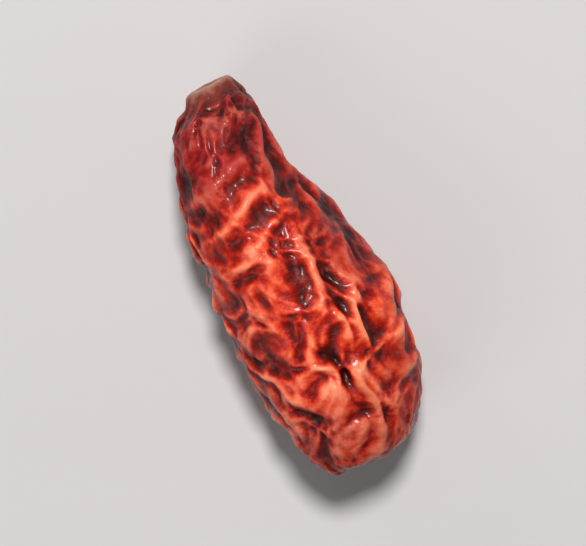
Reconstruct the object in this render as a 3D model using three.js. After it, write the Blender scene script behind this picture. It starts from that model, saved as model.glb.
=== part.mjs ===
// One dried barberry, lying on a flat surface, in millimetres with +Z up.
// The long axis runs along Y, with the stigma at +Y and the stalk scar at -Y.
// The origin lies on the surface, under the middle of the berry.
import * as THREE from "three";
import { mergeVertices } from "three/addons/utils/BufferGeometryUtils.js";

// Body: half sizes before the skin's relief, and how its outline departs from an even oval.
const HALF_LENGTH = 5.08;
const HALF_WIDTH = 1.75;
const HALF_HEIGHT = 1.72;
const BLUNTNESS = 2.3; // 2 is an ellipse, higher is blunter at both ends
const TAPER = 0.17; // share by which the stigma end is slimmer than the middle
const BEND = 0.7; // sideways sway: the two halves bow to opposite sides
const BEND_MEAN = 0.5; // where the sway crosses the axis again, as a squared share of the half length
// Hollow flank of the slim half: the +X side is drawn in, the -X side stays. In half lengths.
const WAIST = { depth: 0.6, at: 0.4, half: 0.42 };
const TIP_PRESS = 0.74; // how far the end is pressed in where the stigma sits
const BELLY_LIMIT = 1.43; // depth below the axis at which the belly levels off
const PRESS_SOFTNESS = 0.24;

// Resting place: the berry stands on three low points, with a flat spot under its weight.
const FEET = [
  new THREE.Vector2(-0.6, -2.9),
  new THREE.Vector2(1.0, -1.7),
  new THREE.Vector2(-0.1, 1.8),
  new THREE.Vector2(0.0, -0.5),
];
const FOOT_RADIUS = 0.95;
const FOOT_FROM = 0.5; // depths below the axis over which the feet set in
const FOOT_FULL = 1.4;
const FOOT_DROP = 0.08; // how far the feet reach below the rest of the belly
const REST_DEPTH = 0.02; // how far the feet are pressed flat
const REST = { centre: -0.25, halfLength: 3.0, halfWidth: 1.4, calm: 0.5 }; // weaker wrinkles

// Stigma disc on the tip, seen along the axis. Places and half widths are in disc radii.
const DISC = {
  radius: 0.8,
  height: 0.16,
  edge: 0.13, // half width of the steep side, in millimetres
  rim: { height: 0.07, at: 0.68, half: 0.24 },
  bowl: { depth: 0.12, from: 0.08, to: 0.5 },
  groove: { depth: 0.1, at: 1.27, half: 0.24 },
  lobes: [
    { count: 3, height: 0.03, lag: 0.7 },
    { count: 5, height: 0.02, lag: 0 },
  ],
  puckers: { count: 7, lag: 0.4, reach: 0.74 },
};

// Scar of the stalk at the other end, in scar radii.
const SCAR = {
  radius: 0.28,
  lip: { height: 0.06, at: 1, half: 0.32 },
  pit: { depth: 0.12, from: 0.2, to: 0.9 },
  dip: { depth: 0.2, from: 0.8, to: 3 },
  lobes: [
    { count: 3, height: 0.05, lag: 1.1 },
    { count: 5, height: 0.03, lag: 0.4 },
  ],
  puckers: { count: 5, lag: 1.3, reach: 0.51 },
};

// Small folds that run in towards the stigma and the scar, in their own reach.
const PUCKER = { height: 0.07, at: 1.55, half: 0.5, second: 0.6, more: 4 };

// Skin relief. Folds and net are ridges along the borders of cells spread over the body.
// stretch makes cells longer along the berry; wander and shiver bend their borders.
const DENTS = { height: 0.12, length: 5.0, stretch: 1.6, waves: 16, seed: 11 };
const FOLDS = { height: 0.38, half: 0.34, cells: 46, stretch: 2.3, seed: 5, wander: 0.3, shiver: 0.1 };
const NET = { height: 0.2, half: 0.18, cells: 170, stretch: 1.3, seed: 9, wander: 0.16, shiver: 0.12 };
const WANDER = { length: 2.6, stretch: 1.4, waves: 12, seeds: [21, 22, 23] };
const SHIVER = { length: 1.1, stretch: 1.2, waves: 12, seeds: [24, 25, 26] };
const WAVE_SPREAD = 0.25; // how much the waves of one field differ in length
const CELL_JITTER = 0.8; // how far cell centres stray from even places, in cell widths
const CELL_SHARE = 0.35; // 1 spreads cells evenly over a ball, 0 evenly along the berry
const CREST_ROUNDING = 0.6; // share of a ridge's half width over which its crest is rounded
const FOLD_MEAN = 0.35; // mean heights of the ridges, which keep the body's size
const NET_MEAN = 0.4;

// How strong the relief is from place to place: its mean, its swing, and how sudden it is.
const STRENGTH = { length: 3.0, stretch: 1.3, waves: 12, seed: 61, mean: 0.65, swing: 0.35, contrast: 1.2 };
const FOLD_SWAY = 0.4; // share of the folds' height that this strength takes away

// Patch of short slanting folds on top of the slimmer half, and what it leaves of the others.
const CROSS = { height: 0.14, half: 0.17, spacing: 0.83, turn: THREE.MathUtils.degToRad(18), wander: 0.12 };
const CROSS_CENTRE = new THREE.Vector2(-0.1, 1.9);
const CROSS_REACH = new THREE.Vector2(1.25, 1.35);
const FOLDS_UNDER_CROSS = 0.3;
const NET_UNDER_CROSS = 0.2;

// Distances from the axis over which the folds fade out towards the two ends.
const FADE_FROM = 0.25;
const FADE_TO = 1.05;
const LEFT_AT_ENDS = 0.3; // share of the relief that is left there

// Folds lie on a cylinder round the body: its length grows by a sine and by the plain angle.
const CYLINDER_SINE = 0.5;
const CYLINDER_ANGLE = 0.575;

// Mesh density: rings from end to end, and columns round the body.
const RINGS = 76;
const COLUMNS = 76;
const RING_SPREAD = 0.16; // moves rings from the tight ends to the long sides

// A plain repeatable random sequence.
const RANDOM_FACTOR = 1664525;
const RANDOM_STEP = 1013904223;
const RANDOM_RANGE = 2 ** 32;

const GOLDEN_ANGLE = Math.PI * (3 - Math.sqrt(5));
const HALF_TURN = Math.PI;
const FULL_TURN = 2 * Math.PI;
const { smoothstep, clamp, lerp } = THREE.MathUtils;

// Repeatable random numbers from 0 to 1.
function randomSource(seed) {
  let state = seed;
  return () => {
    state = (state * RANDOM_FACTOR + RANDOM_STEP) % RANDOM_RANGE;
    return state / RANDOM_RANGE;
  };
}

// 1 at the centre of a soft bump, falling to 0 past its half width.
function softBump(x, centre, half) {
  return Math.exp(-(((x - centre) / half) ** 2));
}

// 1 up to about x = 1, falling to 0 past it.
function softStep(x) {
  return Math.exp(-(x ** 4));
}

// Height of a ridge at a distance from its crest line: a keen crest with hollow flanks.
function ridge(distance, half) {
  const rounding = CREST_ROUNDING * half;
  return Math.exp((rounding - Math.hypot(distance, rounding)) / half);
}

// A smooth random field: plane waves of about one length, pointing all ways.
function waveField(shape, seed) {
  const random = randomSource(seed);
  const waves = [];
  for (let i = 0; i < shape.waves; i++) {
    const up = lerp(-1, 1, random());
    const turn = FULL_TURN * random();
    const size = (FULL_TURN / shape.length) * lerp(1 - WAVE_SPREAD, 1 + WAVE_SPREAD, random());
    const phase = FULL_TURN * random();
    const flat = Math.sqrt(1 - up * up);
    const direction = new THREE.Vector3(flat * Math.cos(turn), up / shape.stretch, flat * Math.sin(turn));
    waves.push({ direction: direction.multiplyScalar(size), phase });
  }
  const scale = Math.sqrt(2 / shape.waves);
  return (point) => {
    const sum = waves.reduce((s, w) => s + Math.sin(point.dot(w.direction) + w.phase), 0);
    return scale * sum;
  };
}

// Three independent fields as one vector field.
function vectorField(shape) {
  const fields = shape.seeds.map((seed) => waveField(shape, seed));
  return (point) => new THREE.Vector3(...fields.map((field) => field(point)));
}

// Point of the plain body; latitude runs from -90 degrees at the scar to 90 at the stigma.
function bodyPoint(latitude, turn) {
  const across = Math.cos(latitude);
  const along = Math.sin(latitude);
  const size = (across ** BLUNTNESS + Math.abs(along) ** BLUNTNESS) ** (1 / BLUNTNESS);
  const radius = (HALF_WIDTH * across) / size;
  const y = (HALF_LENGTH * along) / size;
  return new THREE.Vector3(radius * Math.cos(turn), y, radius * Math.sin(turn));
}

// Outward direction at a point of the plain body.
function bodyNormal(point) {
  const radius = Math.hypot(point.x, point.z);
  const turn = Math.atan2(point.z, point.x);
  const slope = (radius / HALF_WIDTH) ** (BLUNTNESS - 1) / HALF_WIDTH;
  const rise = (Math.abs(point.y) / HALF_LENGTH) ** (BLUNTNESS - 1) / HALF_LENGTH;
  const y = Math.sign(point.y) * rise;
  return new THREE.Vector3(slope * Math.cos(turn), y, slope * Math.sin(turn)).normalize();
}

// Place on a cylinder round the body, so that folds run together towards both ends.
function cylinderPoint(latitude, turn) {
  const angle = latitude / (HALF_TURN / 2);
  const along = HALF_LENGTH * (CYLINDER_SINE * Math.sin(latitude) + CYLINDER_ANGLE * angle);
  return new THREE.Vector3(HALF_WIDTH * Math.cos(turn), along, HALF_WIDTH * Math.sin(turn));
}

// Cell centres spread evenly over the body, each moved a little at random.
function cellCentres({ cells, seed }, place) {
  const random = randomSource(seed);
  const spread = CELL_JITTER * Math.sqrt((2 * FULL_TURN) / cells);
  const centres = [];
  for (let i = 0; i < cells; i++) {
    const moved = (i + 0.5 + CELL_JITTER * lerp(-1, 1, random())) / cells;
    const height = clamp(lerp(1, -1, moved), -1, 1);
    const latitude = lerp((height * HALF_TURN) / 2, Math.asin(height), CELL_SHARE);
    const turn = i * GOLDEN_ANGLE + spread * lerp(-1, 1, random());
    centres.push(place(latitude, turn));
  }
  return centres;
}

// Distance from a point to the nearest border between two cells.
function borderDistance(point, centres, stretch) {
  let nearest = Infinity;
  let second = Infinity;
  for (const centre of centres) {
    const along = (point.y - centre.y) / stretch;
    const distance = Math.hypot(point.x - centre.x, along, point.z - centre.z);
    if (distance < nearest) {
      second = nearest;
      nearest = distance;
    } else if (distance < second) {
      second = distance;
    }
  }
  return (second - nearest) / 2;
}

const wander = vectorField(WANDER);
const shiver = vectorField(SHIVER);
const dents = waveField(DENTS, DENTS.seed);
const strengthField = waveField(STRENGTH, STRENGTH.seed);
const foldCentres = cellCentres(FOLDS, cylinderPoint);
const netCentres = cellCentres(NET, bodyPoint);

// Ridges along the cell borders, with the borders bent by the two vector fields.
function borderRidge(place, centres, shape, wandering, shivering) {
  const bent = place.addScaledVector(wandering, shape.wander).addScaledVector(shivering, shape.shiver);
  return ridge(borderDistance(bent, centres, shape.stretch), shape.half);
}

// The slanting folds: their height, and how much of them there is at a point.
function crossFolds(point, wandering) {
  const across = point.y * Math.cos(CROSS.turn) - point.x * Math.sin(CROSS.turn);
  const phase = (across + CROSS.wander * wandering.y) / CROSS.spacing;
  const height = ridge(CROSS.spacing * (phase - Math.round(phase)), CROSS.half) - NET_MEAN;
  const inX = softStep((point.x - CROSS_CENTRE.x) / CROSS_REACH.x);
  const inY = softStep((point.y - CROSS_CENTRE.y) / CROSS_REACH.y);
  return { height, share: inX * inY * smoothstep(point.z, 0, HALF_WIDTH / 2) };
}

// 1 in the middle of the belly, falling to 0 round it.
function restShare(point) {
  const out = Math.hypot(point.x / REST.halfWidth, (point.y - REST.centre) / REST.halfLength);
  return point.z < 0 ? softStep(out) : 0;
}

// Height of the wrinkled skin over the plain body, along its outward direction.
function skinRelief(point) {
  const radius = Math.hypot(point.x, point.z);
  const latitude = Math.atan2(point.y / HALF_LENGTH, radius / HALF_WIDTH);
  const turn = Math.atan2(point.z, point.x);
  const wandering = wander(point);
  const shivering = shiver(point);
  const strength = STRENGTH.mean + STRENGTH.swing * Math.tanh(STRENGTH.contrast * strengthField(point));
  const clear = smoothstep(radius, FADE_FROM, FADE_TO);
  const spread = lerp(LEFT_AT_ENDS, 1, radius / HALF_WIDTH);

  const onCylinder = cylinderPoint(latitude, turn);
  const fold = borderRidge(onCylinder, foldCentres, FOLDS, wandering, shivering) - FOLD_MEAN;
  const net = borderRidge(point.clone(), netCentres, NET, wandering, shivering) - NET_MEAN;
  const cross = crossFolds(point, wandering);

  const foldShare = lerp(1, strength, FOLD_SWAY) * clear * spread * lerp(1, FOLDS_UNDER_CROSS, cross.share);
  const netShare = strength * lerp(LEFT_AT_ENDS, 1, clear) * lerp(1, NET_UNDER_CROSS, cross.share);
  const wrinkles = FOLDS.height * fold * foldShare + NET.height * net * netShare;
  const relief = wrinkles + CROSS.height * cross.height * cross.share + DENTS.height * dents(point);
  return relief * (1 - REST.calm * restShare(point));
}

// A radius measured in a slightly lobed outline.
function lobed(radius, turn, lobes) {
  return radius / lobes.reduce((sum, l) => sum + l.height * Math.cos(l.count * turn + l.lag), 1);
}

// Height of the small folds that run in towards a centre.
function puckerHeight(radius, turn, { count, lag, reach }) {
  const finer = Math.cos((count + PUCKER.more) * turn + 2 * lag);
  const waves = Math.cos(count * turn + lag) + PUCKER.second * finer;
  const share = softBump(radius, PUCKER.at * reach, PUCKER.half * reach);
  return (PUCKER.height * share * waves) / (1 + PUCKER.second);
}

// Height of the stigma disc: its rim, its hollow middle and the groove round it.
function discHeight(distance, turn) {
  const { radius, edge, rim, bowl, groove } = DISC;
  const r = lobed(distance, turn, DISC.lobes);
  const plateau = DISC.height * (1 - smoothstep(r, radius - edge, radius + edge));
  const edgeRing = rim.height * softBump(r, rim.at * radius, rim.half * radius);
  const hollow = bowl.depth * (1 - smoothstep(r, bowl.from * radius, bowl.to * radius));
  const moat = groove.depth * softBump(r, groove.at * radius, groove.half * radius);
  return plateau + edgeRing - hollow - moat + puckerHeight(r, turn, DISC.puckers);
}

// Height of the stalk scar: a small pit with a low lip, in a wide shallow dip.
function scarHeight(distance, turn) {
  const { radius, lip, pit, dip } = SCAR;
  const r = lobed(distance, turn, SCAR.lobes);
  const ring = lip.height * softBump(r, lip.at * radius, lip.half * radius);
  const hole = pit.depth * (1 - smoothstep(r, pit.from * radius, pit.to * radius));
  const hollow = dip.depth * (1 - smoothstep(r, dip.from * radius, dip.to * radius));
  return ring - hole - hollow + puckerHeight(r, turn, SCAR.puckers);
}

// A distance that levels off softly as it reaches a limit.
function pressed(distance, limit) {
  const over = Math.exp(-distance / PRESS_SOFTNESS) + Math.exp(-limit / PRESS_SOFTNESS);
  return -PRESS_SOFTNESS * Math.log(over);
}

// Moves a point of the plain body to the finished skin. The axis dips towards the slim end,
// so that the belly lies level.
function skinPoint(point) {
  const radius = Math.hypot(point.x, point.z);
  const turn = Math.atan2(point.z, point.x);
  const lift = bodyNormal(point).multiplyScalar(skinRelief(point));
  const y = point.y + lift.y;
  const tip = pressed(y, HALF_LENGTH - TIP_PRESS) + discHeight(radius, turn);
  const base = y - scarHeight(radius, turn);
  const share = point.y / HALF_LENGTH;
  const wide = 1 - TAPER * share;
  const tall = HALF_HEIGHT / HALF_WIDTH;
  const sway = BEND * share * (share * share - BEND_MEAN);
  const waist = WAIST.depth * softBump(share, WAIST.at, WAIST.half);
  const x = (point.x + lift.x) * wide + sway - (waist * (1 + point.x / HALF_WIDTH)) / 2;
  const body = (point.z * wide - HALF_WIDTH * TAPER * share) * tall;
  const z = lift.z * wide * tall - pressed(-body, BELLY_LIMIT);
  return new THREE.Vector3(x, point.y > 0 ? tip : base, z);
}

// How far each foot draws a point of the belly down to its own level, from 0 to 1.
function footShares(point) {
  const below = smoothstep(-point.z, FOOT_FROM, FOOT_FULL);
  return FEET.map((foot) => below * softBump(Math.hypot(point.x - foot.x, point.y - foot.y), 0, FOOT_RADIUS));
}

// Outline of the plain body from the scar to the stigma, with its rings spread evenly.
function bodyOutline() {
  const points = [new THREE.Vector2(0, -HALF_LENGTH)];
  for (let i = 1; i < RINGS; i++) {
    const even = HALF_TURN * (i / RINGS - 0.5);
    const point = bodyPoint(even - RING_SPREAD * Math.sin(2 * even), 0);
    points.push(new THREE.Vector2(point.x, point.y));
  }
  points.push(new THREE.Vector2(0, HALF_LENGTH));
  return points;
}

// A lathed surface whose rings each stand half a column past the last, for even triangles.
function evenLathe(outline, columns) {
  const turned = new THREE.LatheGeometry(outline, columns);
  turned.deleteAttribute("normal");
  turned.deleteAttribute("uv");
  const positions = turned.getAttribute("position");
  const axis = new THREE.Vector3(0, 1, 0);
  const point = new THREE.Vector3();
  for (let i = 0; i < positions.count; i++) {
    const ring = i % outline.length;
    point.fromBufferAttribute(positions, i).applyAxisAngle(axis, (ring * HALF_TURN) / columns);
    positions.setXYZ(i, point.x, point.y, point.z);
  }
  return mergeVertices(turned);
}

// All points of the body, and the same points moved to the finished skin, before it is set down.
function skinPoints(positions) {
  const body = [];
  for (let i = 0; i < positions.count; i++) {
    body.push(new THREE.Vector3().fromBufferAttribute(positions, i));
  }
  const skin = body.map(skinPoint);
  const level = Math.min(...skin.map((point) => point.z)) - FOOT_DROP;
  body.forEach((point, i) => {
    for (const share of footShares(point)) {
      skin[i].z = lerp(skin[i].z, level, share);
    }
  });
  return skin;
}

// The whole berry: lathed from its outline, wrinkled, and set down on its feet.
function berryGeometry() {
  const geometry = evenLathe(bodyOutline(), COLUMNS);
  const positions = geometry.getAttribute("position");
  const skin = skinPoints(positions);
  const { min, max } = new THREE.Box3().setFromPoints(skin);
  skin.forEach((point, i) => {
    const z = Math.max(point.z - min.z - REST_DEPTH, 0);
    positions.setXYZ(i, point.x - (min.x + max.x) / 2, point.y - (min.y + max.y) / 2, z);
  });
  geometry.computeVertexNormals();
  return geometry;
}

function driedBarberry() {
  const skin = new THREE.MeshStandardMaterial({ color: 0xa82a1c, roughness: 0.38, metalness: 0 });
  const berry = new THREE.Mesh(berryGeometry(), skin);
  berry.name = "dried_barberry";
  return berry;
}

const part = new THREE.Group();
part.add(driedBarberry());

export default part;
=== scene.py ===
import math

import bpy
import numpy as np
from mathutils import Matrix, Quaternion, Vector


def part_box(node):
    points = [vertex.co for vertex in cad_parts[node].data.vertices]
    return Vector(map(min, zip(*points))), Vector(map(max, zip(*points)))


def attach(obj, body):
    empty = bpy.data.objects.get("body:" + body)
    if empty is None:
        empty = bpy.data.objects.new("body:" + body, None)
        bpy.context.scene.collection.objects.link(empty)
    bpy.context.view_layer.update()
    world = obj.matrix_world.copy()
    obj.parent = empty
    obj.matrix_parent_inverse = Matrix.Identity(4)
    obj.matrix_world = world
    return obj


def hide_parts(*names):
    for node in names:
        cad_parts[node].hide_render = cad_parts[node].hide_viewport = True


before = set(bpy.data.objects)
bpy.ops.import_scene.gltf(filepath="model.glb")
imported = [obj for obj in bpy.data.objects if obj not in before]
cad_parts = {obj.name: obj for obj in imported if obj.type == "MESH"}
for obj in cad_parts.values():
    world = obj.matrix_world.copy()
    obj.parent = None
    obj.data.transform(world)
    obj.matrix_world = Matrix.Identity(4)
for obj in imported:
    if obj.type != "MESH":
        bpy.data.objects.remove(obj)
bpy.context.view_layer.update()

MM = 0.001

# Body, in millimetres: the same numbers as in the part's source.
HALF_LENGTH = 5.08
HALF_WIDTH = 1.75
HALF_HEIGHT = 1.72
BLUNTNESS = 2.3
TAPER = 0.17
BEND = 0.7
BEND_MEAN = 0.5
WAIST = {"depth": 0.6, "at": 0.4, "half": 0.42}
TIP_PRESS = 0.74
BELLY_LIMIT = 1.43
PRESS_SOFTNESS = 0.24

# Resting place: three low points, and a flat spot under the weight.
FEET = ((-0.6, -2.9), (1.0, -1.7), (-0.1, 1.8), (0.0, -0.5))
FOOT_RADIUS = 0.95
FOOT_FROM = 0.5
FOOT_FULL = 1.4
FOOT_DROP = 0.08
REST_DEPTH = 0.02
REST = {"centre": -0.25, "half_length": 3.0, "half_width": 1.4, "calm": 0.5}

# Stigma disc and stalk scar. Rim, groove and lip: height, place and half width. Bowl, pit and dip:
# depth, start and end. Places and widths are in radii of the disc or scar, heights in millimetres.
# Lobes: count, height as a share, and lag. Puckers: count, lag, and reach in millimetres.
DISC = {"radius": 0.8, "height": 0.16, "edge": 0.13}
DISC_RIM = (0.07, 0.68, 0.24)
DISC_BOWL = (0.12, 0.08, 0.5)
DISC_GROOVE = (0.1, 1.27, 0.24)
DISC_LOBES = ((3, 0.03, 0.7), (5, 0.02, 0.0))
DISC_PUCKERS = (7, 0.4, 0.74)
SCAR_RADIUS = 0.28
SCAR_LIP = (0.06, 1.0, 0.32)
SCAR_PIT = (0.12, 0.2, 0.9)
SCAR_DIP = (0.2, 0.8, 3.0)
SCAR_LOBES = ((3, 0.05, 1.1), (5, 0.03, 0.4))
SCAR_PUCKERS = (5, 1.3, 0.51)
PUCKER = {"height": 0.07, "at": 1.55, "half": 0.5, "second": 0.6, "more": 4}

# Relief of the skin.
DENTS = {"height": 0.12, "length": 5.0, "stretch": 1.6, "waves": 16, "seed": 11}
FOLDS = {"height": 0.38, "half": 0.34, "cells": 46, "stretch": 2.3, "seed": 5}
FOLDS_BENT = {"wander": 0.3, "shiver": 0.1}
NET = {"height": 0.2, "half": 0.18, "cells": 170, "stretch": 1.3, "seed": 9}
NET_BENT = {"wander": 0.16, "shiver": 0.12}
WANDER = {"length": 2.6, "stretch": 1.4, "waves": 12, "seeds": (21, 22, 23)}
SHIVER = {"length": 1.1, "stretch": 1.2, "waves": 12, "seeds": (24, 25, 26)}
STRENGTH = {"length": 3.0, "stretch": 1.3, "waves": 12, "seed": 61}
STRENGTH_MEAN = 0.65
STRENGTH_SWING = 0.35
STRENGTH_CONTRAST = 1.2
WAVE_SPREAD = 0.25
CELL_JITTER = 0.8
CELL_SHARE = 0.35
FOLD_MEAN = 0.35
NET_MEAN = 0.4
FOLD_SWAY = 0.4
CROSS = {"height": 0.14, "half": 0.17, "spacing": 0.83, "turn": math.radians(18), "wander": 0.12}
CROSS_CENTRE = (-0.1, 1.9)
CROSS_REACH = (1.25, 1.35)
FOLDS_UNDER_CROSS = 0.3
NET_UNDER_CROSS = 0.2
FADE_FROM = 0.25
FADE_TO = 1.05
LEFT_AT_ENDS = 0.3
CYLINDER_SINE = 0.5
CYLINDER_ANGLE = 0.575
RING_SPREAD = 0.16

# Finer than the part's source: keener crests, small creases, stronger where the folds are weak,
# and a fine grain.
CREST_ROUNDING = 0.35
CREASES = {"height": 0.055, "half": 0.075, "cells": 1000, "stretch": 1.15, "seed": 13}
CREASES_BENT = {"wander": 0.0, "shiver": 0.12}
CREASES_WHERE_WEAK = 1.15
CREASES_WHERE_STRONG = 0.65
CREASES_AT_ENDS = 0.25
GRAIN = {"height": 0.011, "length": 0.42, "stretch": 1.2, "waves": 30, "seed": 71}
RINGS = 306
COLUMNS = 306

# How many rings and columns the relief is smoothed over, to find what stands out of its surroundings.
WIDE_BLUR = 18
CLOSE_BLUR = 5

# A distance from the disc or scar at which nothing of it is left, in its radii.
FAR_OFF = 9

# A plain repeatable random sequence.
RANDOM_FACTOR = 1664525
RANDOM_STEP = 1013904223
RANDOM_RANGE = 2**32
GOLDEN_ANGLE = math.pi * (3 - math.sqrt(5))

# Colours of the flesh from the hollows to the crests, dark in the hollows partly as painted shade and
# light on the crests partly as painted highlight, and of the dry tissue from the middle outwards.
FLESH_SHADED_TO_LIT = (
    (0.08, (0.032, 0.0014, 0.001)),
    (0.34, (0.15, 0.003, 0.0015)),
    (0.54, (0.44, 0.012, 0.0035)),
    (0.74, (0.74, 0.072, 0.024)),
    (1.00, (0.91, 0.22, 0.11)),
)
DISC_TISSUE = (
    (0.0, (0.020, 0.009, 0.006)),
    (0.30, (0.06, 0.026, 0.016)),
    (0.52, (0.22, 0.100, 0.064)),
    (0.75, (0.40, 0.205, 0.140)),
    (0.92, (0.26, 0.090, 0.062)),
    (1.0, (0.16, 0.030, 0.018)),
)
SCAR_WOOD = (
    (0.0, (0.36, 0.15, 0.08)),
    (0.25, (0.12, 0.036, 0.020)),
    (0.6, (0.06, 0.014, 0.008)),
    (1.0, (0.34, 0.085, 0.045)),
)
# Pinkish dust, which also serves as a painted highlight on the crests.
BLOOM_AND_SHEEN = (0.84, 0.30, 0.20)

# The slim end, in millimetres along the berry.
TIP_SPAN = (1.4, 3.6)

# Zones of the skin: bands across or along the berry, where each starts and is full in millimetres
# with its share there, and the factor that the zone puts on the colour.
# Painted shade: the flank at -x made darker and browner.
PAINTED_SHADE_FLANK = ((("across", -0.4, -1.6, 0.8),), (0.78, 0.85, 0.85))
CRIMSON_TIP = ((("along", *TIP_SPAN, 1.0),), (0.42, 0.12, 0.26))
DARKER_BASE = ((("along", -1.9, -3.6, 0.9),), (0.60, 0.46, 0.52))
WARMER_FLANK = ((("along", 0.5, -2.5, 1.0), ("across", -0.6, 0.8, 0.8)), (0.94, 1.04, 0.95))
# Painted shade: the waist on the flank at +x made darker.
PAINTED_SHADE_WAIST = (
    (("along", -1.6, 0.2, 1.0), ("along", 3.6, 2.2, 1.0), ("across", 0.1, 1.0, 0.95)),
    (0.60, 0.40, 0.50),
)
ZONES = (PAINTED_SHADE_FLANK, CRIMSON_TIP, DARKER_BASE, WARMER_FLANK, PAINTED_SHADE_WAIST)

# Random patterns: scale, detail and roughness; the span of the pattern that is used; what it gives.
PATCHES = ((420, 3.0, 0.55), (0.3, 0.7), (-0.23, 0.02))
MOTTLING = ((1500, 4.0, 0.65), (0.3, 0.7), (-0.10, 0.10))
SPECKLE = ((5200, 4.0, 0.7), (0.32, 0.68), (-0.08, 0.08))
BLOOM_AND_SHEEN_PATCHES = ((1100, 4.0, 0.65), (0.48, 0.7), (0.0, 1.0))
DISC_GRAIN = ((2600, 4.0, 0.6), (0.3, 0.7), (-0.06, 0.06))
SCAR_GRAIN = ((2600, 4.0, 0.6), (0.3, 0.7), (-0.2, 0.2))
GLOSS_PATCHES = ((900, 3.0, 0.5), (0.35, 0.7), (-0.05, 0.14))

# The borders of the zones drift: scale, detail and roughness of the pattern, the value at which
# nothing moves, and the reach in millimetres.
ZONE_DRIFT = (520, 2.0, 0.5)
ZONE_DRIFT_MIDDLE = 0.5
ZONE_DRIFT_REACH = 2.8

# Tone of the flesh, from 0 in the darkest hollows to 1 on the lightest crests: partly painted shade in
# the hollows and painted highlight on the crests, and lighter on top as painted light. The spans are
# millimetres of fold, of fine crest and of height over the floor.
FOLD_SPAN = (-0.11, 0.12)
FOLD_PART = 0.78
CREST_SPAN = (-0.045, 0.05)
CREST_PART = 0.44
PAINTED_LIGHT_TOP_SPAN = (1.8, 3.5)
PAINTED_LIGHT_ON_TOP = (-0.09, 0.16)

# The dusty bloom, which on the lighter crests is also a pinkish painted highlight: the tones over which
# it comes in, and its share where it is full.
BLOOM_AND_SHEEN_SPAN = (0.45, 0.85)
BLOOM_AND_SHEEN_SHARE = 0.26

# Masks of the dry tissue, in radii of the disc and of the scar.
DISC_MASK = (1.3, 0.85)
DISC_DULL = (1.2, 0.9)
SCAR_MASK = (1.35, 1.0)
SCAR_DULL = (1.8, 1.1)
SCAR_WOOD_TO = 1.3

# Gloss of the skin, from dull hollows to smoother crests, and the fine grain of its shading.
GLOSS_SPAN = (0.1, 0.9)
ROUGHNESS_FROM_TO = (0.42, 0.24)
DRY_DULLNESS = 0.3
TIP_DULLNESS = 0.12
PORES = {"scale": 7000, "strength": 0.6, "depth": 0.000022}
FINE_GRAIN = {"pattern": (3000, 5.0, 0.7), "strength": 0.7, "depth": 0.00008}
SKIN_VALUES = {
    "Subsurface Weight": 0.14,
    "Subsurface Radius": (1.0, 0.18, 0.08),
    "Subsurface Scale": 0.0003,
    "IOR": 1.48,
    "Specular IOR Level": 0.29,
    "Specular Tint": (1.0, 0.66, 0.60, 1),
    "Coat Weight": 0.17,
    "Coat Roughness": 0.15,
}

# Places of the colour sockets on a mix node.
MIX_SHARE, MIX_A, MIX_B, MIX_RESULT = 0, 6, 7, 2

# Floor, lights, surroundings and camera, in metres, watts and degrees; the lens is in millimetres.
# Each light has its name, place, size and power.
FLOOR = {"turns": 96, "steps": 24, "flat_rings": 4, "flat": 0.14, "reach": 0.34, "height": 0.2}
FLOOR_COLOUR = (0.54, 0.515, 0.51)
FLOOR_ROUGHNESS = 0.9
LIGHTS = (
    ("key_light", (0.045, 0.085, 0.185), 0.04, 0.5),
    ("fill_light", (-0.17, -0.04, 0.13), 0.12, 0.09),
    ("rim_light", (-0.03, 0.19, 0.09), 0.06, 0.035),
    ("edge_light", (0.2, -0.09, 0.05), 0.06, 0.03),
)
LIGHT_TARGET = (0.0, 0.0, 0.002)
WORLD_COLOUR = (0.95, 0.96, 1.0)
WORLD_STRENGTH = 0.1
CAMERA = {"azimuth": 153.7, "elevation": 82, "roll": 180, "distance": 0.076, "lens": 200}
CAMERA_TARGET = (0.0, 0.0, 0.0019)
CAMERA_CLIP = (0.001, 2.0)


def random_source(seed):
    state = seed
    while True:
        state = (state * RANDOM_FACTOR + RANDOM_STEP) % RANDOM_RANGE
        yield state / RANDOM_RANGE


def lerp(a, b, share):
    return a + (b - a) * share


def smoothstep(x, low, high):
    t = np.clip((x - low) / (high - low), 0, 1)
    return t * t * (3 - 2 * t)


def soft_bump(x, centre, half):
    return np.exp(-(((x - centre) / half) ** 2))


def soft_step(x):
    return np.exp(-(x**4))


def ridge(distance, half):
    """A keen crest with hollow flanks."""
    rounding = CREST_ROUNDING * half
    return np.exp((rounding - np.hypot(distance, rounding)) / half)


def round_axis(points):
    """Each point's distance from the long axis, and its angle round it."""
    return np.hypot(points[:, 0], points[:, 2]), np.arctan2(points[:, 2], points[:, 0])


def wave_field(points, shape, seed):
    """A smooth random field: plane waves of about one length, pointing all ways."""
    draw = random_source(seed)
    total = np.zeros(len(points))
    for _ in range(shape["waves"]):
        up = lerp(-1, 1, next(draw))
        turn = 2 * math.pi * next(draw)
        size = 2 * math.pi / shape["length"] * lerp(1 - WAVE_SPREAD, 1 + WAVE_SPREAD, next(draw))
        phase = 2 * math.pi * next(draw)
        flat = math.sqrt(1 - up * up)
        way = np.array([flat * math.cos(turn), up / shape["stretch"], flat * math.sin(turn)])
        total += np.sin(points @ (size * way) + phase)
    return math.sqrt(2 / shape["waves"]) * total


def vector_field(points, shape):
    return np.stack([wave_field(points, shape, seed) for seed in shape["seeds"]], axis=1)


def body_points(latitude, turn):
    across, along = np.cos(latitude), np.sin(latitude)
    size = (np.abs(across) ** BLUNTNESS + np.abs(along) ** BLUNTNESS) ** (1 / BLUNTNESS)
    radius = HALF_WIDTH * across / size
    y = HALF_LENGTH * along / size
    return np.stack([radius * np.cos(turn), y, radius * np.sin(turn)], axis=1)


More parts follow.
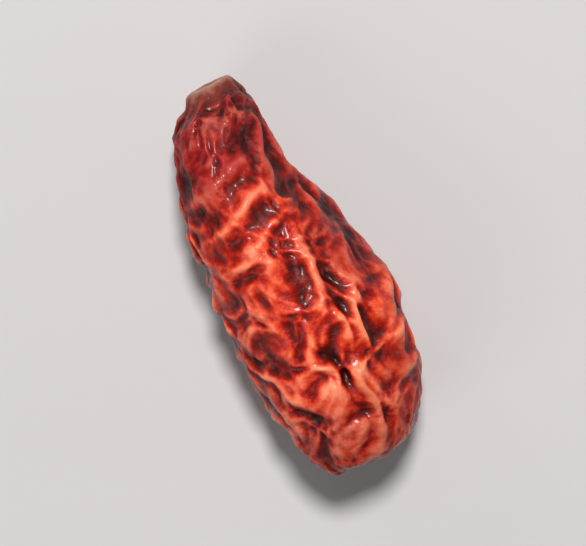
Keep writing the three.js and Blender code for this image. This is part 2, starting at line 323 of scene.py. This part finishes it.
def body_normals(points):
    radius, turn = round_axis(points)
    slope = (radius / HALF_WIDTH) ** (BLUNTNESS - 1) / HALF_WIDTH
    rise = (np.abs(points[:, 1]) / HALF_LENGTH) ** (BLUNTNESS - 1) / HALF_LENGTH
    rise *= np.sign(points[:, 1])
    normals = np.stack([slope * np.cos(turn), rise, slope * np.sin(turn)], axis=1)
    return normals / np.linalg.norm(normals, axis=1)[:, None]


def cylinder_points(latitude, turn):
    """Places on a cylinder round the body, so that folds run together towards both ends."""
    along = CYLINDER_SINE * np.sin(latitude) + CYLINDER_ANGLE * latitude / (math.pi / 2)
    return np.stack([HALF_WIDTH * np.cos(turn), HALF_LENGTH * along, HALF_WIDTH * np.sin(turn)], axis=1)


def cell_centres(shape, place):
    """Cell centres spread evenly over the body, each moved a little at random."""
    draw = random_source(shape["seed"])
    cells = shape["cells"]
    spread = CELL_JITTER * math.sqrt(4 * math.pi / cells)
    latitude, turn = [], []
    for i in range(cells):
        moved = (i + 0.5 + CELL_JITTER * lerp(-1, 1, next(draw))) / cells
        height = min(max(lerp(1, -1, moved), -1), 1)
        latitude.append(lerp(height * math.pi / 2, math.asin(height), CELL_SHARE))
        turn.append(i * GOLDEN_ANGLE + spread * lerp(-1, 1, next(draw)))
    return place(np.array(latitude), np.array(turn))


def border_distance(points, centres, stretch):
    """Half of how much farther each point's second nearest centre is than its nearest, in batches."""
    batch = 8000
    scale = np.array([1, 1 / stretch, 1])
    a, b = points * scale, centres * scale
    found = np.empty(len(a))
    for i in range(0, len(a), batch):
        part = a[i : i + batch]
        squares = (part**2).sum(1)[:, None] + (b**2).sum(1)[None] - 2 * part @ b.T
        two = np.sqrt(np.maximum(np.partition(squares, 1, axis=1)[:, :2], 0))
        found[i : i + batch] = (two[:, 1] - two[:, 0]) / 2
    return found


def border_ridge(places, shape, bent, place, wandering, shivering):
    """Ridges along the borders of the cells, which wander off their straight lines."""
    moved = places + bent["wander"] * wandering + bent["shiver"] * shivering
    return ridge(border_distance(moved, cell_centres(shape, place), shape["stretch"]), shape["half"])


def cross_folds(points, wandering):
    """The slanting folds: their height, and how much of them there is at each point."""
    across = points[:, 1] * math.cos(CROSS["turn"]) - points[:, 0] * math.sin(CROSS["turn"])
    phase = (across + CROSS["wander"] * wandering[:, 1]) / CROSS["spacing"]
    height = ridge(CROSS["spacing"] * (phase - np.round(phase)), CROSS["half"]) - NET_MEAN
    in_x = soft_step((points[:, 0] - CROSS_CENTRE[0]) / CROSS_REACH[0])
    in_y = soft_step((points[:, 1] - CROSS_CENTRE[1]) / CROSS_REACH[1])
    return height, in_x * in_y * smoothstep(points[:, 2], 0, HALF_WIDTH / 2)


def rest_share(points):
    """How near each point of the underside is to the resting place."""
    along = (points[:, 1] - REST["centre"]) / REST["half_length"]
    out = np.hypot(points[:, 0] / REST["half_width"], along)
    return np.where(points[:, 2] < 0, soft_step(out), 0)


def skin_relief(points):
    """Height of the wrinkled skin over the plain body, along its outward direction."""
    radius, turn = round_axis(points)
    latitude = np.arctan2(points[:, 1] / HALF_LENGTH, radius / HALF_WIDTH)
    bends = vector_field(points, WANDER), vector_field(points, SHIVER)
    field = wave_field(points, STRENGTH, STRENGTH["seed"])
    strength = STRENGTH_MEAN + STRENGTH_SWING * np.tanh(STRENGTH_CONTRAST * field)
    clear = smoothstep(radius, FADE_FROM, FADE_TO)
    spread = lerp(LEFT_AT_ENDS, 1, radius / HALF_WIDTH)

    on_cylinder = cylinder_points(latitude, turn)
    fold = border_ridge(on_cylinder, FOLDS, FOLDS_BENT, cylinder_points, *bends) - FOLD_MEAN
    net = border_ridge(points, NET, NET_BENT, body_points, *bends) - NET_MEAN
    crease = border_ridge(points, CREASES, CREASES_BENT, body_points, *bends) - FOLD_MEAN
    cross, share = cross_folds(points, bends[0])

    fold_share = lerp(1, strength, FOLD_SWAY) * clear * spread * lerp(1, FOLDS_UNDER_CROSS, share)
    net_share = strength * lerp(LEFT_AT_ENDS, 1, clear) * lerp(1, NET_UNDER_CROSS, share)
    crease_share = lerp(CREASES_WHERE_WEAK, CREASES_WHERE_STRONG, strength)
    crease_share *= lerp(CREASES_AT_ENDS, 1, clear)
    relief = FOLDS["height"] * fold * fold_share + NET["height"] * net * net_share
    relief += CROSS["height"] * cross * share
    relief += DENTS["height"] * wave_field(points, DENTS, DENTS["seed"])
    relief += CREASES["height"] * crease * crease_share
    relief += GRAIN["height"] * wave_field(points, GRAIN, GRAIN["seed"])
    return relief * (1 - REST["calm"] * rest_share(points))


def lobed(radius, turn, lobes):
    """A radius measured in a slightly lobed outline."""
    return radius / (1 + sum(height * np.cos(count * turn + lag) for count, height, lag in lobes))


def pucker_height(radius, turn, puckers):
    """Small folds that run in towards a centre."""
    count, lag, reach = puckers
    finer = np.cos((count + PUCKER["more"]) * turn + 2 * lag)
    waves = np.cos(count * turn + lag) + PUCKER["second"] * finer
    share = soft_bump(radius, PUCKER["at"] * reach, PUCKER["half"] * reach)
    return PUCKER["height"] * share * waves / (1 + PUCKER["second"])


def ring(r, radius, shape):
    height, at, half = shape
    return height * soft_bump(r, at * radius, half * radius)


def hollow(r, radius, shape):
    depth, start, end = shape
    return depth * (1 - smoothstep(r, start * radius, end * radius))


def disc_height(distance, turn):
    radius, edge = DISC["radius"], DISC["edge"]
    r = lobed(distance, turn, DISC_LOBES)
    form = DISC["height"] * (1 - smoothstep(r, radius - edge, radius + edge))
    form += ring(r, radius, DISC_RIM) - hollow(r, radius, DISC_BOWL) - ring(r, radius, DISC_GROOVE)
    return form + pucker_height(r, turn, DISC_PUCKERS)


def scar_height(distance, turn):
    r = lobed(distance, turn, SCAR_LOBES)
    form = ring(r, SCAR_RADIUS, SCAR_LIP)
    form -= hollow(r, SCAR_RADIUS, SCAR_PIT) + hollow(r, SCAR_RADIUS, SCAR_DIP)
    return form + pucker_height(r, turn, SCAR_PUCKERS)


def pressed(distance, limit):
    """A distance that levels off softly as it reaches a limit."""
    return -PRESS_SOFTNESS * np.logaddexp(-distance / PRESS_SOFTNESS, -limit / PRESS_SOFTNESS)


def on_feet(points, z):
    """Heights with the low points and the flat spot drawn down to one level."""
    level = z.min() - FOOT_DROP
    below = smoothstep(-points[:, 2], FOOT_FROM, FOOT_FULL)
    for foot_x, foot_y in FEET:
        away = np.hypot(points[:, 0] - foot_x, points[:, 1] - foot_y)
        z = lerp(z, level, below * soft_bump(away, 0, FOOT_RADIUS))
    return z


def skin_points(points, relief):
    """The finished skin, set down on its feet."""
    radius, turn = round_axis(points)
    lift = body_normals(points) * relief[:, None]
    y = points[:, 1] + lift[:, 1]
    tip = pressed(y, HALF_LENGTH - TIP_PRESS) + disc_height(radius, turn)
    base = y - scar_height(radius, turn)
    share = points[:, 1] / HALF_LENGTH
    wide = 1 - TAPER * share
    tall = HALF_HEIGHT / HALF_WIDTH
    sway = BEND * share * (share * share - BEND_MEAN)
    waist = WAIST["depth"] * soft_bump(share, WAIST["at"], WAIST["half"])
    x = (points[:, 0] + lift[:, 0]) * wide + sway - waist * (1 + points[:, 0] / HALF_WIDTH) / 2
    body = (points[:, 2] * wide - HALF_WIDTH * TAPER * share) * tall
    z = on_feet(points, lift[:, 2] * wide * tall - pressed(-body, BELLY_LIMIT))
    skin = np.stack([x, np.where(points[:, 1] > 0, tip, base), z], axis=1)
    low, high = skin.min(0), skin.max(0)
    skin -= [(low[0] + high[0]) / 2, (low[1] + high[1]) / 2, low[2] + REST_DEPTH]
    skin[:, 2] = np.maximum(skin[:, 2], 0)
    return skin


def grid_points():
    """Points of the plain body: two poles, and rings that each stand half a column past the last."""
    order = np.arange(1, RINGS)
    even = math.pi * (order / RINGS - 0.5)
    latitude = even - RING_SPREAD * np.sin(2 * even)
    turn = (2 * np.arange(COLUMNS)[None] + order[:, None]) * math.pi / COLUMNS
    every_latitude = np.concatenate([[-math.pi / 2], np.repeat(latitude, COLUMNS), [math.pi / 2]])
    every_turn = np.concatenate([[0.0], turn.ravel(), [0.0]])
    points = body_points(every_latitude, every_turn)
    points[[0, -1], 0] = 0
    points[[0, -1], 2] = 0
    return points


def grid_faces():
    column = np.arange(COLUMNS)
    following = (column + 1) % COLUMNS
    first = 1
    last = (RINGS - 1) * COLUMNS + 1
    end = last - COLUMNS
    parts = [np.stack([np.zeros(COLUMNS, int), first + column, first + following], axis=1)]
    for start in range(first, end, COLUMNS):
        above = start + COLUMNS
        parts.append(np.stack([start + column, above + column, start + following], axis=1))
        parts.append(np.stack([start + following, above + column, above + following], axis=1))
    parts.append(np.stack([np.full(COLUMNS, last), end + following, end + column], axis=1))
    return np.concatenate(parts)


def blurred(values, reach):
    """A field on the grid, smoothed over so many rings and columns; the poles keep their values."""
    field = values[1:-1].reshape(RINGS - 1, COLUMNS)
    for along_rings in (False, True):
        total = np.zeros_like(field)
        weights = 0
        for step in range(-reach, reach + 1):
            weight = 1 + math.cos(math.pi * step / (reach + 1))
            if along_rings:
                moved = np.roll(field, step, axis=1)
            else:
                moved = field[np.clip(np.arange(RINGS - 1) + step, 0, RINGS - 2)]
            total += weight * moved
            weights += weight
        field = total / weights
    return np.concatenate([values[:1], field.ravel(), values[-1:]])


def add_attribute(mesh, name, values):
    layer = mesh.attributes.new(name, "FLOAT", "POINT")
    layer.data.foreach_set("value", values.astype(np.float32))


def fitted(skin, box):
    """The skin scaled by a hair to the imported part's box."""
    low, high = skin.min(0), skin.max(0)
    want_low, want_high = np.array(box[0]) / MM, np.array(box[1]) / MM
    return want_low + (skin - low) * (want_high - want_low) / (high - low)


def add_object(name, data):
    thing = bpy.data.objects.new(name, data)
    bpy.context.scene.collection.objects.link(thing)
    return thing


def smooth_mesh(name, points, faces):
    mesh = bpy.data.meshes.new(name)
    mesh.from_pydata(points, [], faces)
    mesh.update()
    mesh.polygons.foreach_set("use_smooth", np.ones(len(mesh.polygons), bool))
    return mesh


def berry_object():
    """The berry, with the values on its points that its material reads."""
    points = grid_points()
    relief = skin_relief(points)
    skin = fitted(skin_points(points, relief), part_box("dried_barberry"))
    mesh = smooth_mesh("berry_skin", skin * MM, grid_faces().tolist())
    radius, turn = round_axis(points)
    tip = points[:, 1] > 0
    disc = lobed(radius, turn, DISC_LOBES) / DISC["radius"]
    scar = lobed(radius, turn, SCAR_LOBES) / SCAR_RADIUS
    add_attribute(mesh, "fold", relief - blurred(relief, WIDE_BLUR))
    add_attribute(mesh, "crest", relief - blurred(relief, CLOSE_BLUR))
    add_attribute(mesh, "disc", np.where(tip, disc, FAR_OFF))
    add_attribute(mesh, "scar", np.where(tip, FAR_OFF, scar))
    return add_object("dried_barberry_skin", mesh)


class Nodes:
    """Short ways to make and join shader nodes."""

    def __init__(self, tree):
        self.tree = tree

    def new(self, kind):
        return self.tree.nodes.new(kind)

    def link(self, source, target):
        self.tree.links.new(source, target)

    def fill(self, socket, value):
        """Join a socket to another node's, or set it to a number or a colour."""
        if isinstance(value, tuple):
            socket.default_value = (*value, 1)
        elif isinstance(value, (int, float)):
            socket.default_value = value
        else:
            self.link(value, socket)

    def attribute(self, name):
        node = self.new("ShaderNodeAttribute")
        node.attribute_name = name
        return node.outputs["Fac"]

    def place(self):
        return self.new("ShaderNodeTexCoord").outputs["Object"]

    def separate(self, vector):
        node = self.new("ShaderNodeSeparateXYZ")
        self.link(vector, node.inputs[0])
        return node.outputs

    def span(self, value, source, result=(0.0, 1.0), smooth=True):
        """Values between the two of the source become values between the two of the result."""
        node = self.new("ShaderNodeMapRange")
        node.interpolation_type = "SMOOTHSTEP" if smooth else "LINEAR"
        self.link(value, node.inputs["Value"])
        for name, number in zip(("From Min", "From Max", "To Min", "To Max"), (*source, *result)):
            node.inputs[name].default_value = number
        return node.outputs["Result"]

    def noise(self, scale, detail, roughness):
        node = self.new("ShaderNodeTexNoise")
        node.inputs["Scale"].default_value = scale
        node.inputs["Detail"].default_value = detail
        node.inputs["Roughness"].default_value = roughness
        self.link(self.place(), node.inputs["Vector"])
        return node.outputs[0]

    def pattern(self, shape):
        texture, source, result = shape
        return self.span(self.noise(*texture), source, result)

    def cells(self, scale):
        node = self.new("ShaderNodeTexVoronoi")
        node.inputs["Scale"].default_value = scale
        self.link(self.place(), node.inputs["Vector"])
        return node.outputs["Distance"]

    def math(self, operation, a, b):
        node = self.new("ShaderNodeMath")
        node.operation = operation
        self.fill(node.inputs[0], a)
        self.fill(node.inputs[1], b)
        return node.outputs[0]

    def add(self, *values):
        total = values[0]
        for value in values[1:]:
            total = self.math("ADD", total, value)
        return total

    def times(self, *values):
        product = values[0]
        for value in values[1:]:
            product = self.math("MULTIPLY", product, value)
        return product

    def mix(self, share, a, b, kind="MIX"):
        node = self.new("ShaderNodeMix")
        node.data_type = "RGBA"
        node.blend_type = kind
        self.fill(node.inputs[MIX_SHARE], share)
        self.fill(node.inputs[MIX_A], a)
        self.fill(node.inputs[MIX_B], b)
        return node.outputs[MIX_RESULT]

    def tinted(self, share, colour, factor):
        return self.mix(share, colour, self.mix(1.0, colour, factor, "MULTIPLY"))

    def ramp(self, value, stops):
        node = self.new("ShaderNodeValToRGB")
        elements = node.color_ramp.elements
        while len(elements) < len(stops):
            elements.new(0.5)
        for element, (position, colour) in zip(elements, stops):
            element.position = position
            element.color = (*colour, 1)
        self.link(value, node.inputs[0])
        return node.outputs["Color"]

    def bump(self, height, strength, distance, normal=None):
        node = self.new("ShaderNodeBump")
        node.inputs["Strength"].default_value = strength
        node.inputs["Distance"].default_value = distance
        self.link(height, node.inputs["Height"])
        if normal is not None:
            self.link(normal, node.inputs["Normal"])
        return node.outputs["Normal"]


def in_metres(span):
    return tuple(value * MM for value in span)


def tone_with_painted_light(n, crest, up):
    """Dark in the hollows and light on the crests, partly painted shade and painted highlight; lighter
    on top as painted light; with patches, mottling and speckle.
    """
    fold = n.span(n.attribute("fold"), FOLD_SPAN, smooth=False)
    # Partly painted shade in the hollows and painted highlight on the crests, partly the flesh's own
    # lighter ridges.
    mixed = n.add(n.times(fold, FOLD_PART), n.times(crest, CREST_PART))
    blotches = n.add(n.pattern(PATCHES), n.pattern(MOTTLING), n.pattern(SPECKLE))
    # Painted light: the top of the berry is made lighter.
    return n.add(mixed, blotches, n.span(up, in_metres(PAINTED_LIGHT_TOP_SPAN), PAINTED_LIGHT_ON_TOP))


def zoned(n, colour, places):
    """The colour after each zone of the skin has put its factor on it; two of the zones are painted
    shade.
    """
    for bands, factor in ZONES:
        shares = []
        for axis, start, full, most in bands:
            shares.append(n.span(places[axis], in_metres((start, full)), (0.0, most)))
        colour = n.tinted(n.times(*shares), colour, factor)
    return colour


def skin_colour(n, tone, places, disc, scar):
    """Red flesh in its zones, two of them painted shade, with a thin dusty bloom that is partly a
    painted highlight, and dry brown tissue at both ends.
    """
    shaded_and_lit_flesh = zoned(n, n.ramp(tone, FLESH_SHADED_TO_LIT), places)
    # Partly real dust and partly a painted highlight on the lighter crests.
    bloom_and_sheen = n.times(n.pattern(BLOOM_AND_SHEEN_PATCHES), n.span(tone, BLOOM_AND_SHEEN_SPAN, (0.0, BLOOM_AND_SHEEN_SHARE)))
    skin = n.mix(bloom_and_sheen, shaded_and_lit_flesh, BLOOM_AND_SHEEN)
    tissue = n.ramp(n.span(disc, (0.0, 1.0), smooth=False), DISC_TISSUE)
    with_disc = n.mix(n.span(disc, DISC_MASK), skin, tissue)
    wood = n.ramp(n.span(scar, (0.0, SCAR_WOOD_TO), smooth=False), SCAR_WOOD)
    return n.mix(n.span(scar, SCAR_MASK), with_disc, wood)


def skin_roughness(n, crest, places, disc, scar):
    """Smoother on the crests, duller in the hollows, at the slim end and on the dry tissue."""
    gloss = n.add(n.span(crest, GLOSS_SPAN, ROUGHNESS_FROM_TO), n.pattern(GLOSS_PATCHES))
    dry = n.math("MAXIMUM", n.span(disc, DISC_DULL), n.span(scar, SCAR_DULL))
    tip = n.span(places["along"], in_metres(TIP_SPAN), (0.0, TIP_DULLNESS))
    return n.add(gloss, n.times(dry, DRY_DULLNESS), tip)


def skin_material():
    material = bpy.data.materials.new("berry_skin")
    material.use_nodes = True
    shader = material.node_tree.nodes["Principled BSDF"]
    n = Nodes(material.node_tree)
    across, along, up = n.separate(n.place())
    off_middle = n.math("SUBTRACT", n.noise(*ZONE_DRIFT), ZONE_DRIFT_MIDDLE)
    drift = n.times(off_middle, ZONE_DRIFT_REACH * MM)
    places = {"across": n.add(across, drift), "along": n.add(along, drift)}
    crest = n.span(n.attribute("crest"), CREST_SPAN, smooth=False)
    disc = n.add(n.attribute("disc"), n.pattern(DISC_GRAIN))
    scar = n.add(n.attribute("scar"), n.pattern(SCAR_GRAIN))
    tone = tone_with_painted_light(n, crest, up)
    n.link(skin_colour(n, tone, places, disc, scar), shader.inputs["Base Color"])
    n.link(skin_roughness(n, crest, places, disc, scar), shader.inputs["Roughness"])
    pores = n.bump(n.cells(PORES["scale"]), PORES["strength"], PORES["depth"])
    grain = n.noise(*FINE_GRAIN["pattern"])
    n.link(n.bump(grain, FINE_GRAIN["strength"], FINE_GRAIN["depth"], pores), shader.inputs["Normal"])
    for name, value in SKIN_VALUES.items():
        shader.inputs[name].default_value = value
    return material


def plain_material(name, colour, roughness):
    material = bpy.data.materials.new(name)
    material.use_nodes = True
    shader = material.node_tree.nodes["Principled BSDF"]
    shader.inputs["Base Color"].default_value = (*colour, 1)
    shader.inputs["Roughness"].default_value = roughness
    return material


def floor_outline():
    """The floor from its middle outwards: distance and height, flat at first and then curving up."""
    flat, steps, rings = FLOOR["flat"], FLOOR["steps"], FLOOR["flat_rings"]
    outline = [(flat * i / rings, 0.0) for i in range(1, rings + 1)]
    for i in range(1, steps + 1):
        angle = math.pi / 2 * i / steps
        out = flat + (FLOOR["reach"] - flat) * math.sin(angle)
        outline.append((out, FLOOR["height"] * (1 - math.cos(angle))))
    return outline


def floor_object():
    """A floor that curves up far from the berry, all round."""
    turns = FLOOR["turns"]
    outline = floor_outline()
    points = [(0.0, 0.0, 0.0)]
    for r, z in outline:
        for j in range(turns):
            a = 2 * math.pi * j / turns
            points.append((r * math.cos(a), r * math.sin(a), z))
    faces = [(0, 1 + j, 1 + (j + 1) % turns) for j in range(turns)]
    for i in range(len(outline) - 1):
        a = 1 + i * turns
        b = a + turns
        for j in range(turns):
            k = (j + 1) % turns
            faces.append((a + j, b + j, b + k, a + k))
    mesh = smooth_mesh("floor", points, faces)
    mesh.materials.append(plain_material("floor_paper", FLOOR_COLOUR, FLOOR_ROUGHNESS))
    return add_object("floor", mesh)


def add_light(name, place, size, power):
    light = bpy.data.lights.new(name, "AREA")
    light.shape = "DISK"
    light.size = size
    light.energy = power
    lamp = add_object(name, light)
    lamp.location = place
    lamp.rotation_euler = (Vector(LIGHT_TARGET) - Vector(place)).to_track_quat("-Z", "Y").to_euler()


def add_camera():
    a, e = math.radians(CAMERA["azimuth"]), math.radians(CAMERA["elevation"])
    back = Vector((math.sin(a) * math.cos(e), -math.cos(a) * math.cos(e), math.sin(e)))
    data = bpy.data.cameras.new("camera")
    data.lens = CAMERA["lens"]
    data.clip_start, data.clip_end = CAMERA_CLIP
    camera = add_object("camera", data)
    camera.location = Vector(CAMERA_TARGET) + back * CAMERA["distance"]
    rolled = Quaternion((0, 0, 1), math.radians(CAMERA["roll"]))
    camera.rotation_euler = ((-back).to_track_quat("-Z", "Y") @ rolled).to_euler()
    bpy.context.scene.camera = camera


def add_world():
    world = bpy.data.worlds.new("world")
    world.use_nodes = True
    background = world.node_tree.nodes["Background"]
    background.inputs["Color"].default_value = (*WORLD_COLOUR, 1)
    background.inputs["Strength"].default_value = WORLD_STRENGTH
    bpy.context.scene.world = world


berry = berry_object()
berry.data.materials.append(skin_material())
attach(berry, "root")
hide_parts("dried_barberry")

floor_object()
for light in LIGHTS:
    add_light(*light)
add_world()
add_camera()
bpy.context.scene.view_settings.view_transform = "Standard"
